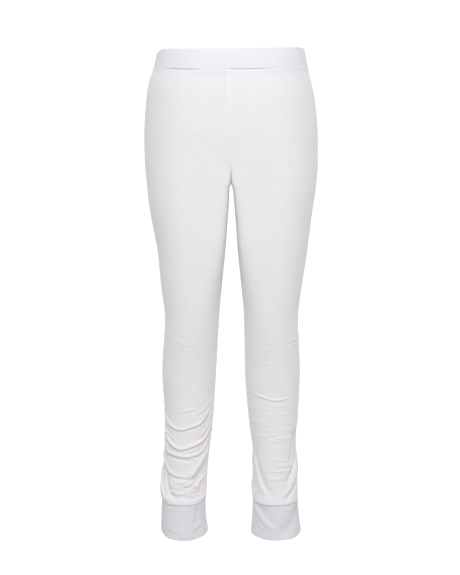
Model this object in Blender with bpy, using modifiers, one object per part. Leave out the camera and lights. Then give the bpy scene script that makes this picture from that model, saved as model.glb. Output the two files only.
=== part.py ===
# Pyjama pants, filled out as worn: an elastic waistband, two jersey legs that meet at the centre and
# inner leg seams, and two ankle cuffs. Metres, +Z up. The front faces -Y and the left leg is at +X.
# The origin is the middle of the waistband ring.

from collections import namedtuple
from math import cos, exp, hypot, pi, sin, sqrt

import bmesh
import bpy

# Cloth, and the clearance between pieces that are sewn together
LEG_CLOTH = 0.0012
CUFF_CLOTH = 0.0020
BAND_CLOTH = 0.0024
BAND_PROUD = 0.0011
SEAM_GAP = 0.0003
RING_GAP = 0.0006

# Heights, taken at the sides of the body
BAND_TOP = 0.0185
BAND_FOOT = -0.0185
CROTCH = -0.254
CUFF_SEAM = -0.8915
CUFF_HEM = -0.954

# The fork: how far above the crotch the front and back seams come out of it, and how softly the legs
# part
FRONT_FORK = 0.070
BACK_FORK = 0.110
FORK_SOFTNESS = 0.6

# The thighs fill their inner corners out towards each other, most just under the crotch
THIGH_FULLNESS = 0.22
FULLNESS_START = -0.200
FULLEST_TOP = -0.270
FULLEST_FOOT = -0.300
FULLNESS_END = -0.520

# How the waist hangs: higher at the left hip, its lower edge sagging a little at the front
WAIST_TILT = 0.012
WAIST_SAG = 0.0035
WAIST_REACH = 0.080

# Outer quarters of a section are superellipses, a little squarer than an ellipse
SQUARENESS = 2.15

# Faces round a leg, with a narrow one along each seam edge, and its rows by height
LEG_COLUMNS = 24
EDGE_TURN = 0.012
HIP_ROWS = (-0.034, -0.052, -0.074, -0.098, -0.122, -0.144)
FORK_ROWS = 8
THIGH_ROWS = (-0.260, -0.272, -0.290, -0.325, -0.365, -0.405, -0.445, -0.485, -0.520)
CALF_ROWS = (-0.548, -0.580, -0.615, -0.650, -0.680, -0.700)
FOLDS_TOP = -0.713
FOLD_ROWS = 33
BAND_COLUMNS = 48
BAND_ROWS = 3
CUFF_ROWS = 6

# Depth of the garment at each height: y of the front and back crests, how far out from the centre plane each
# crest lies (1 is the middle of the leg), and how far a level tips forward
Level = namedtuple("Level", "z front back front_crest back_crest lean")
LEVELS = [
    Level(0.0185, -0.098, 0.098, 0.30, 0.36, 0.0),
    Level(-0.0185, -0.101, 0.104, 0.32, 0.42, 0.0),
    Level(-0.080, -0.106, 0.119, 0.38, 0.62, 0.0),
    Level(-0.140, -0.106, 0.129, 0.52, 0.82, 0.0),
    Level(-0.180, -0.103, 0.127, 0.68, 0.92, 0.0),
    Level(-0.220, -0.099, 0.115, 0.88, 0.98, 0.0),
    Level(-0.260, -0.096, 0.098, 1.0, 1.0, 0.0),
    Level(-0.310, -0.093, 0.083, 1.0, 1.0, 0.0),
    Level(-0.380, -0.088, 0.074, 1.0, 1.0, 0.0),
    Level(-0.460, -0.079, 0.064, 1.0, 1.0, 0.0),
    Level(-0.545, -0.066, 0.057, 1.0, 1.0, 0.0),
    Level(-0.610, -0.052, 0.065, 1.0, 1.0, 0.01),
    Level(-0.680, -0.042, 0.071, 1.0, 1.0, 0.03),
    Level(-0.760, -0.035, 0.070, 1.0, 1.0, 0.05),
    Level(-0.8915, -0.028, 0.067, 1.0, 1.0, 0.08),
    Level(-0.954, -0.031, 0.071, 1.0, 1.0, 0.27),
]

# Front outline of each leg: how far its inner and outer sides are from the centre plane
Width = namedtuple("Width", "z inner outer")
WIDTHS = {
    "right": [
        Width(0.0185, 0.0, 0.1450),
        Width(-0.0185, 0.0, 0.1522),
        Width(-0.042, 0.0, 0.1615),
        Width(-0.080, 0.0, 0.1680),
        Width(-0.160, 0.0, 0.1729),
        Width(-0.210, 0.0, 0.1715),
        Width(-0.254, 0.0, 0.1675),
        Width(-0.266, 0.0028, 0.1663),
        Width(-0.288, 0.0043, 0.1637),
        Width(-0.308, 0.0058, 0.1607),
        Width(-0.390, 0.0120, 0.1457),
        Width(-0.450, 0.0180, 0.1400),
        Width(-0.520, 0.0240, 0.1323),
        Width(-0.629, 0.0300, 0.1383),
        Width(-0.727, 0.0365, 0.1332),
        Width(-0.790, 0.0440, 0.1345),
        Width(-0.835, 0.0480, 0.1385),
        Width(-0.868, 0.0495, 0.1435),
        Width(-0.8915, 0.0515, 0.1400),
        Width(-0.920, 0.0510, 0.1412),
        Width(-0.954, 0.0465, 0.1418),
    ],
    "left": [
        Width(0.0185, 0.0, 0.1440),
        Width(-0.0185, 0.0, 0.1505),
        Width(-0.042, 0.0, 0.1570),
        Width(-0.080, 0.0, 0.1660),
        Width(-0.160, 0.0, 0.1729),
        Width(-0.210, 0.0, 0.1730),
        Width(-0.254, 0.0, 0.1695),
        Width(-0.266, 0.0034, 0.1681),
        Width(-0.288, 0.0064, 0.1646),
        Width(-0.308, 0.0082, 0.1615),
        Width(-0.390, 0.0140, 0.1512),
        Width(-0.450, 0.0200, 0.1420),
        Width(-0.520, 0.0260, 0.1342),
        Width(-0.629, 0.0280, 0.1385),
        Width(-0.727, 0.0360, 0.1345),
        Width(-0.790, 0.0435, 0.1322),
        Width(-0.840, 0.0435, 0.1345),
        Width(-0.8915, 0.0440, 0.1355),
        Width(-0.920, 0.0430, 0.1380),
        Width(-0.954, 0.0400, 0.1412),
    ],
}

# Folds where the cloth bunches above the cuffs. A turn of 0 is the inner leg seam, 0.25 the front, 0.5 the
# outer side and 0.75 the back. A fold's ridge runs from start to end, through middle_z half way along.
Fold = namedtuple("Fold", "start start_z middle_z end end_z width rise")
FOLDS = {
    "right": [
        Fold(0.46, -0.727, -0.740, 0.05, -0.713, 0.009, 0.0024),
        Fold(0.49, -0.754, -0.776, 0.05, -0.758, 0.009, 0.0042),
        Fold(0.49, -0.786, -0.794, 0.04, -0.777, 0.008, 0.0044),
        Fold(0.50, -0.817, -0.836, 0.17, -0.836, 0.009, 0.0040),
        Fold(0.22, -0.828, -0.812, 0.04, -0.792, 0.009, 0.0036),
        Fold(0.50, -0.874, -0.884, 0.03, -0.868, 0.008, 0.0036),
        Fold(0.53, -0.742, -0.752, 0.94, -0.735, 0.010, 0.0034),
        Fold(0.51, -0.776, -0.790, 0.97, -0.768, 0.009, 0.0042),
        Fold(0.54, -0.812, -0.822, 0.80, -0.815, 0.009, 0.0036),
        Fold(0.70, -0.842, -0.838, 0.98, -0.818, 0.010, 0.0040),
        Fold(0.50, -0.874, -0.881, 0.98, -0.870, 0.008, 0.0036),
    ],
    "left": [
        Fold(0.06, -0.745, -0.756, 0.30, -0.752, 0.009, 0.0018),
        Fold(0.14, -0.824, -0.822, 0.41, -0.806, 0.010, 0.0034),
        Fold(0.07, -0.806, -0.842, 0.21, -0.883, 0.008, 0.0036),
        Fold(0.48, -0.824, -0.846, 0.34, -0.862, 0.008, 0.0036),
        Fold(0.47, -0.852, -0.866, 0.29, -0.884, 0.008, 0.0034),
        Fold(0.49, -0.876, -0.884, 0.02, -0.870, 0.008, 0.0034),
        Fold(0.53, -0.748, -0.741, 0.90, -0.752, 0.010, 0.0030),
        Fold(0.52, -0.782, -0.776, 0.96, -0.790, 0.009, 0.0042),
        Fold(0.55, -0.808, -0.826, 0.84, -0.818, 0.009, 0.0038),
        Fold(0.62, -0.848, -0.846, 0.98, -0.824, 0.010, 0.0036),
        Fold(0.51, -0.876, -0.882, 0.98, -0.872, 0.008, 0.0034),
    ],
}

# A fold's shape, as shares of its width and rise: its ridge drops faster below than above, into a trough
GIRTH_AT_FOLDS = 0.30
DROP_WIDTH = 0.6
TROUGH_DEPTH = 0.55
TROUGH_PLACE = 1.15
TROUGH_WIDTH = 0.55
END_FADE = 0.6

SIDES = {"right": -1, "left": 1}

# Colour and roughness of each cloth
JERSEY = ((0.80, 0.79, 0.81), 0.85)
CUFF_JERSEY = ((0.76, 0.75, 0.78), 0.85)
ELASTIC_CASING = ((0.86, 0.87, 0.90), 0.75)


def slope_at(rows, column, i):
    # Slope of a table's column at a row, nought where it turns, so that the curve stays within its rows
    def rate(a, b):
        return (getattr(b, column) - getattr(a, column)) / (b.z - a.z)

    if i == 0:
        return rate(rows[0], rows[1])
    if i == len(rows) - 1:
        return rate(rows[-2], rows[-1])
    above = rate(rows[i - 1], rows[i])
    below = rate(rows[i], rows[i + 1])
    if above * below <= 0:
        return 0.0
    return 2 * above * below / (above + below)


def read(rows, column, z):
    # Smooth curve through a table's column, read at a height
    i = 0
    while i < len(rows) - 2 and z < rows[i + 1].z:
        i += 1
    upper = rows[i]
    lower = rows[i + 1]
    span = lower.z - upper.z
    t = min(max((z - upper.z) / span, 0.0), 1.0)
    start = getattr(upper, column)
    end = getattr(lower, column)
    start_slope = slope_at(rows, column, i) * span
    end_slope = slope_at(rows, column, i + 1) * span
    return (
        start * (1 + 2 * t) * (1 - t) ** 2
        + start_slope * t * (1 - t) ** 2
        + end * t * t * (3 - 2 * t)
        + end_slope * t * t * (t - 1)
    )


def fade(value, start, end):
    # Nought at start, one at end, smooth between
    t = min(max((value - start) / (end - start), 0.0), 1.0)
    return t * t * (3 - 2 * t)


def section(leg, z, turn):
    # Outer face of a leg at one height, x from the centre plane. Above the crotch the section is half of the
    # body and ends on the centre plane, and in the fork its ends draw in until they meet at the inner seam.
    inner = read(WIDTHS[leg], "inner", z)
    outer = read(WIDTHS[leg], "outer", z)
    front = read(LEVELS, "front", z)
    back = read(LEVELS, "back", z)
    middle = (front + back) / 2
    at_front = turn <= 0.5
    reach = front if at_front else back
    share = read(LEVELS, "front_crest" if at_front else "back_crest", z)
    crest = inner + (outer - inner) / 2 * share
    from_seam = turn if at_front else 1 - turn
    if from_seam > 0.25:
        angle = (from_seam - 0.25) * 2 * pi
        x = crest + (outer - crest) * sin(angle) ** (2 / SQUARENESS)
        y = middle + (reach - middle) * max(cos(angle), 0.0) ** (2 / SQUARENESS)
        return x, y
    fork = FRONT_FORK if at_front else BACK_FORK
    down = max((CROTCH + fork - z) / fork, 0.0)
    closed = fade(down, 0.0, 1.0)
    angle = from_seam * 2 * pi
    full = fade(z, FULLNESS_START, FULLEST_TOP) * fade(z, FULLNESS_END, FULLEST_FOOT)
    power = 1 - THIGH_FULLNESS * full
    parted = 1 - down * down
    softness = FORK_SOFTNESS * closed * sin(angle) ** 2
    seam_y = middle + (reach - middle) * sqrt((parted + hypot(parted, softness)) / 2)
    out = (1 - closed) * from_seam / 0.25 + closed * (1 - max(cos(angle), 0.0) ** power)
    x = inner + (crest - inner) * out
    y = seam_y + (reach - seam_y) * sin(angle) ** ((2 - closed) * power)
    return x, y


def outward(leg, z, turn):
    # Level direction out of the cloth, from two points beside this one
    step = 0.004
    x1, y1 = section(leg, z, (turn - step) % 1)
    x2, y2 = section(leg, z, (turn + step) % 1)
    length = hypot(x2 - x1, y2 - y1)
    return (y2 - y1) / length, (x1 - x2) / length


def fold_rise(fold, turn, z):
    # A soft ridge with a sharper drop below it into a shallow trough, dying out at both ends
    along = (turn - fold.start) / (fold.end - fold.start)
    if along <= 0 or along >= 1:
        return 0.0
    bend = fold.middle_z - (fold.start_z + fold.end_z) / 2
    ridge_z = fold.start_z + (fold.end_z - fold.start_z) * along + 4 * bend * along * (1 - along)
    steepness = (fold.end_z - fold.start_z) / ((fold.end - fold.start) * GIRTH_AT_FOLDS)
    distance = (z - ridge_z) / (fold.width * hypot(1, steepness))
    ridge = exp(-((distance if distance > 0 else distance / DROP_WIDTH) ** 2))
    trough = TROUGH_DEPTH * exp(-(((distance + TROUGH_PLACE) / TROUGH_WIDTH) ** 2))
    return fold.rise * (ridge - trough) * sin(pi * along) ** END_FADE


def leg_point(leg, z, turn):
    # A point of the leg's outer face with its folds, and the lean of its level
    x, y = section(leg, z, turn)
    bunching = sum(fold_rise(fold, turn, z) for fold in FOLDS[leg]) * fade(z, CUFF_SEAM, CUFF_SEAM + 0.006)
    if bunching:
        out_x, out_y = outward(leg, z, turn)
        x += out_x * bunching
        y += out_y * bunching
    middle = (read(LEVELS, "front", z) + read(LEVELS, "back", z)) / 2
    tipped = z + read(LEVELS, "lean", z) * (y - middle)
    return x, y, tipped


def hang_waist(x, y, z):
    # Height of a point near the waist once the waist tilts and sags
    near = fade(z, BAND_FOOT - WAIST_REACH, BAND_FOOT)
    lower = 1 - fade(z, BAND_FOOT, BAND_TOP)
    forward = max(-y / 0.1, 0.0) ** 2
    return z + near * (WAIST_TILT * x - WAIST_SAG * forward * lower)


def leg_turns():
    # Turns of the columns round a leg, with a narrow column at each edge of its seam
    even = [i / LEG_COLUMNS for i in range(1, LEG_COLUMNS)]
    return [0.0, EDGE_TURN] + even + [1 - EDGE_TURN, 1.0]


def leg_heights():
    # Rows from the waist seam down, wide on the hips, close where the fork curves and the cloth bunches
    fork = [CROTCH + BACK_FORK * (1 - sin(pi / 2 * i / FORK_ROWS)) for i in range(1, FORK_ROWS + 1)]
    foot = CUFF_SEAM + RING_GAP / 2
    folds = [FOLDS_TOP + (foot - FOLDS_TOP) * i / FOLD_ROWS for i in range(FOLD_ROWS + 1)]
    return [BAND_FOOT - RING_GAP, *HIP_ROWS, *fork, *THIGH_ROWS, *CALF_ROWS, *folds]


def cloth_object(name, rows, thickness, finish, closed, flipped):
    # Lofts rows of points into a sheet, then gives it its thickness inwards
    mesh = bmesh.new()
    verts = [[mesh.verts.new(point) for point in row] for row in rows]
    columns = len(rows[0])
    for upper, lower in zip(verts, verts[1:]):
        for i in range(columns if closed else columns - 1):
            j = (i + 1) % columns
            corners = [upper[i], lower[i], lower[j], upper[j]]
            mesh.faces.new(corners[::-1] if flipped else corners)
    data = bpy.data.meshes.new(name)
    mesh.to_mesh(data)
    mesh.free()
    data.shade_smooth()
    sheet = bpy.data.objects.new(name, data)
    pants.objects.link(sheet)
    wall = sheet.modifiers.new("cloth", "SOLIDIFY")
    wall.thickness = thickness
    wall.offset = -1
    colour, roughness = finish
    material = bpy.data.materials.new(name)
    material.use_nodes = True
    shader = material.node_tree.nodes["Principled BSDF"]
    shader.inputs["Base Color"].default_value = (*colour, 1)
    shader.inputs["Roughness"].default_value = roughness
    shader.inputs["Metallic"].default_value = 0.0
    data.materials.append(material)
    return sheet


def make_leg(leg):
    side = SIDES[leg]
    rows = []
    for z in leg_heights():
        row = []
        for turn in leg_turns():
            x, y, height = leg_point(leg, z, turn)
            x = side * max(x, SEAM_GAP / 2)
            if z <= CROTCH and turn in (0.0, 1.0):
                y += SEAM_GAP * (turn - 0.5)
            row.append((x, y, hang_waist(x, y, height)))
        rows.append(row)
    cloth_object(leg + "_leg", rows, LEG_CLOTH, JERSEY, closed=False, flipped=side < 0)


def make_cuff(leg):
    side = SIDES[leg]
    rows = []
    top = CUFF_SEAM - RING_GAP / 2
    for i in range(CUFF_ROWS + 1):
        z = top + (CUFF_HEM - top) * i / CUFF_ROWS
        points = [leg_point(leg, z, j / LEG_COLUMNS) for j in range(LEG_COLUMNS)]
        rows.append([(side * x, y, height) for x, y, height in points])
    cloth_object(leg + "_cuff", rows, CUFF_CLOTH, CUFF_JERSEY, closed=True, flipped=side < 0)


def make_waistband():
    # The ring follows both legs' sections, standing proud of them
    half = BAND_COLUMNS // 2
    rows = []
    for i in range(BAND_ROWS + 1):
        z = BAND_TOP + (BAND_FOOT - BAND_TOP) * i / BAND_ROWS
        row = []
        for leg in ("left", "right"):
            for j in range(half):
                turn = j / half if leg == "left" else 1 - j / half
                x, y = section(leg, z, turn)
                out_x, out_y = outward(leg, z, min(max(turn, 0.01), 0.99))
                on_centre = turn in (0.0, 1.0)
                x = 0.0 if on_centre else SIDES[leg] * (x + out_x * BAND_PROUD)
                y += (-1 if turn == 0.0 else 1) * BAND_PROUD if on_centre else out_y * BAND_PROUD
                row.append((x, y, hang_waist(x, y, z)))
        rows.append(row)
    cloth_object("waistband", rows, BAND_CLOTH, ELASTIC_CASING, closed=True, flipped=False)


for existing in list(bpy.data.objects):
    bpy.data.objects.remove(existing, do_unlink=True)
pants = bpy.data.collections.new("pyjama_pants")
bpy.context.scene.collection.children.link(pants)
make_waistband()
for leg_name in SIDES:
    make_leg(leg_name)
    make_cuff(leg_name)
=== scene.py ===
import math
import random
from collections import namedtuple

import bmesh
import bpy
import numpy as np
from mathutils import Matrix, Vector


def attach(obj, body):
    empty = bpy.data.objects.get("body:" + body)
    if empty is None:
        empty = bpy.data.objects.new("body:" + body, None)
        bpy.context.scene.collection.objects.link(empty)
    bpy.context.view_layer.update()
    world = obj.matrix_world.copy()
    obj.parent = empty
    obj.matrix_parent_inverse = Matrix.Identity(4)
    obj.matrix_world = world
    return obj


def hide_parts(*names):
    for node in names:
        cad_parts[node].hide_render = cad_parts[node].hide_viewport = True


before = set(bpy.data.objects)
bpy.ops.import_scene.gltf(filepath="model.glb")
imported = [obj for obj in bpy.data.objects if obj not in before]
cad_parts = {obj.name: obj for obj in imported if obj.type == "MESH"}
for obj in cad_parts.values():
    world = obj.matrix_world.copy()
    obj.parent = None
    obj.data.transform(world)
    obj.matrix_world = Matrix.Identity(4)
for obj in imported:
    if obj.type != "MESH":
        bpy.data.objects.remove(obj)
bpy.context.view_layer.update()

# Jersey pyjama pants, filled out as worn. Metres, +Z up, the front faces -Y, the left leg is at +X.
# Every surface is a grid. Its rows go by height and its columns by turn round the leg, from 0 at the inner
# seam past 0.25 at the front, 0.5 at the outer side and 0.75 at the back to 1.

sides = {"right": -1, "left": 1}

# what is shared by all the pieces
garment = {
    "bandTop": 0.0185,
    "bandFoot": -0.0185,
    "crotch": -0.2465,
    "cuffSeam": -0.8915,
    "cuffHem": -0.954,
    "frontFork": 0.070,      # how far above the crotch the front seam starts to draw in
    "backFork": 0.110,
    "forkSoftness": 0.6,
    "forkDepth": 5.0,        # higher keeps the seam further out until close above the crotch
    "thighFullness": {"front": 0.75, "back": 0.36},   # how far the inner corners of the thighs fill out
    "thighStart": (-0.170, -0.235),
    "thighEnd": (-0.580, -0.330),
    "forkFullness": 0.08,    # and more so where they meet at the crotch
    "forkStart": (-0.150, -0.215),
    "forkEnd": (-0.330, -0.262),
    "squareness": 2.15,      # outer quarters of a section, 2 is an ellipse
    "waistTilt": 0.012,
    "waistSag": 0.0035,      # the band's foot sags at the front
    "waistReach": 0.080,     # how far below the band both still show
    "sideDip": {"right": 0.0070, "left": 0.0040},     # the band's top dips at its sides
    "dipPlace": (0.134, 0.146),
    "girthAtFolds": 0.30,
    "seamGap": 0.0002,
    "centreGap": 0.00005,
    "seamDrift": -0.0028,    # the centre front seam leans aside towards the waistband
    "driftPlace": (-0.115, -0.066),
    "driftReach": 0.035,
}

# depth of the garment by height
Level = namedtuple("Level", "z front back frontCrest backCrest lean")
levels = [
    Level(0.0185, -0.098, 0.098, 0.30, 0.36, 0.0),
    Level(-0.0185, -0.101, 0.104, 0.32, 0.42, 0.0),
    Level(-0.080, -0.106, 0.119, 0.38, 0.62, 0.0),
    Level(-0.140, -0.106, 0.129, 0.52, 0.82, 0.0),
    Level(-0.180, -0.103, 0.127, 0.68, 0.92, 0.0),
    Level(-0.220, -0.099, 0.115, 0.88, 0.98, 0.0),
    Level(-0.260, -0.096, 0.098, 1.0, 1.0, 0.0),
    Level(-0.310, -0.093, 0.083, 1.0, 1.0, 0.0),
    Level(-0.380, -0.088, 0.074, 1.0, 1.0, 0.0),
    Level(-0.460, -0.079, 0.064, 1.0, 1.0, 0.0),
    Level(-0.545, -0.066, 0.057, 1.0, 1.0, 0.0),
    Level(-0.610, -0.052, 0.065, 1.0, 1.0, 0.01),
    Level(-0.680, -0.042, 0.071, 1.0, 1.0, 0.03),
    Level(-0.760, -0.035, 0.070, 1.0, 1.0, 0.05),
    Level(-0.8915, -0.028, 0.067, 1.0, 1.0, 0.08),
    Level(-0.954, -0.031, 0.071, 1.0, 1.0, 0.27),
]

# front outline of each leg, from the centre plane
Width = namedtuple("Width", "z inner outer")
widths = {"right": [
    Width(0.0185, 0.0, 0.1450),
    Width(-0.0185, 0.0, 0.1522),
    Width(-0.042, 0.0, 0.1615),
    Width(-0.080, 0.0, 0.1680),
    Width(-0.160, 0.0, 0.1729),
    Width(-0.210, 0.0, 0.1715),
    Width(-0.2465, 0.0, 0.1682),
    Width(-0.2525, 0.0022, 0.1677),
    Width(-0.264, 0.0036, 0.1665),
    Width(-0.288, 0.0043, 0.1637),
    Width(-0.308, 0.0058, 0.1607),
    Width(-0.390, 0.0120, 0.1457),
    Width(-0.450, 0.0180, 0.1400),
    Width(-0.520, 0.0240, 0.1323),
    Width(-0.629, 0.0300, 0.1383),
    Width(-0.727, 0.0365, 0.1332),
    Width(-0.790, 0.0440, 0.1345),
    Width(-0.835, 0.0480, 0.1385),
    Width(-0.868, 0.0495, 0.1435),
    Width(-0.8915, 0.0515, 0.1400),
    Width(-0.920, 0.0510, 0.1412),
    Width(-0.954, 0.0465, 0.1418),
], "left": [
    Width(0.0185, 0.0, 0.1440),
    Width(-0.0185, 0.0, 0.1505),
    Width(-0.042, 0.0, 0.1570),
    Width(-0.080, 0.0, 0.1660),
    Width(-0.160, 0.0, 0.1729),
    Width(-0.210, 0.0, 0.1730),
    Width(-0.2465, 0.0, 0.1702),
    Width(-0.2525, 0.0025, 0.1696),
    Width(-0.264, 0.0042, 0.1683),
    Width(-0.288, 0.0064, 0.1646),
    Width(-0.308, 0.0082, 0.1615),
    Width(-0.390, 0.0140, 0.1512),
    Width(-0.450, 0.0200, 0.1420),
    Width(-0.520, 0.0260, 0.1342),
    Width(-0.629, 0.0280, 0.1385),
    Width(-0.727, 0.0360, 0.1345),
    Width(-0.790, 0.0435, 0.1322),
    Width(-0.840, 0.0435, 0.1345),
    Width(-0.8915, 0.0440, 0.1355),
    Width(-0.920, 0.0430, 0.1380),
    Width(-0.954, 0.0400, 0.1412),
]}

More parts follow.
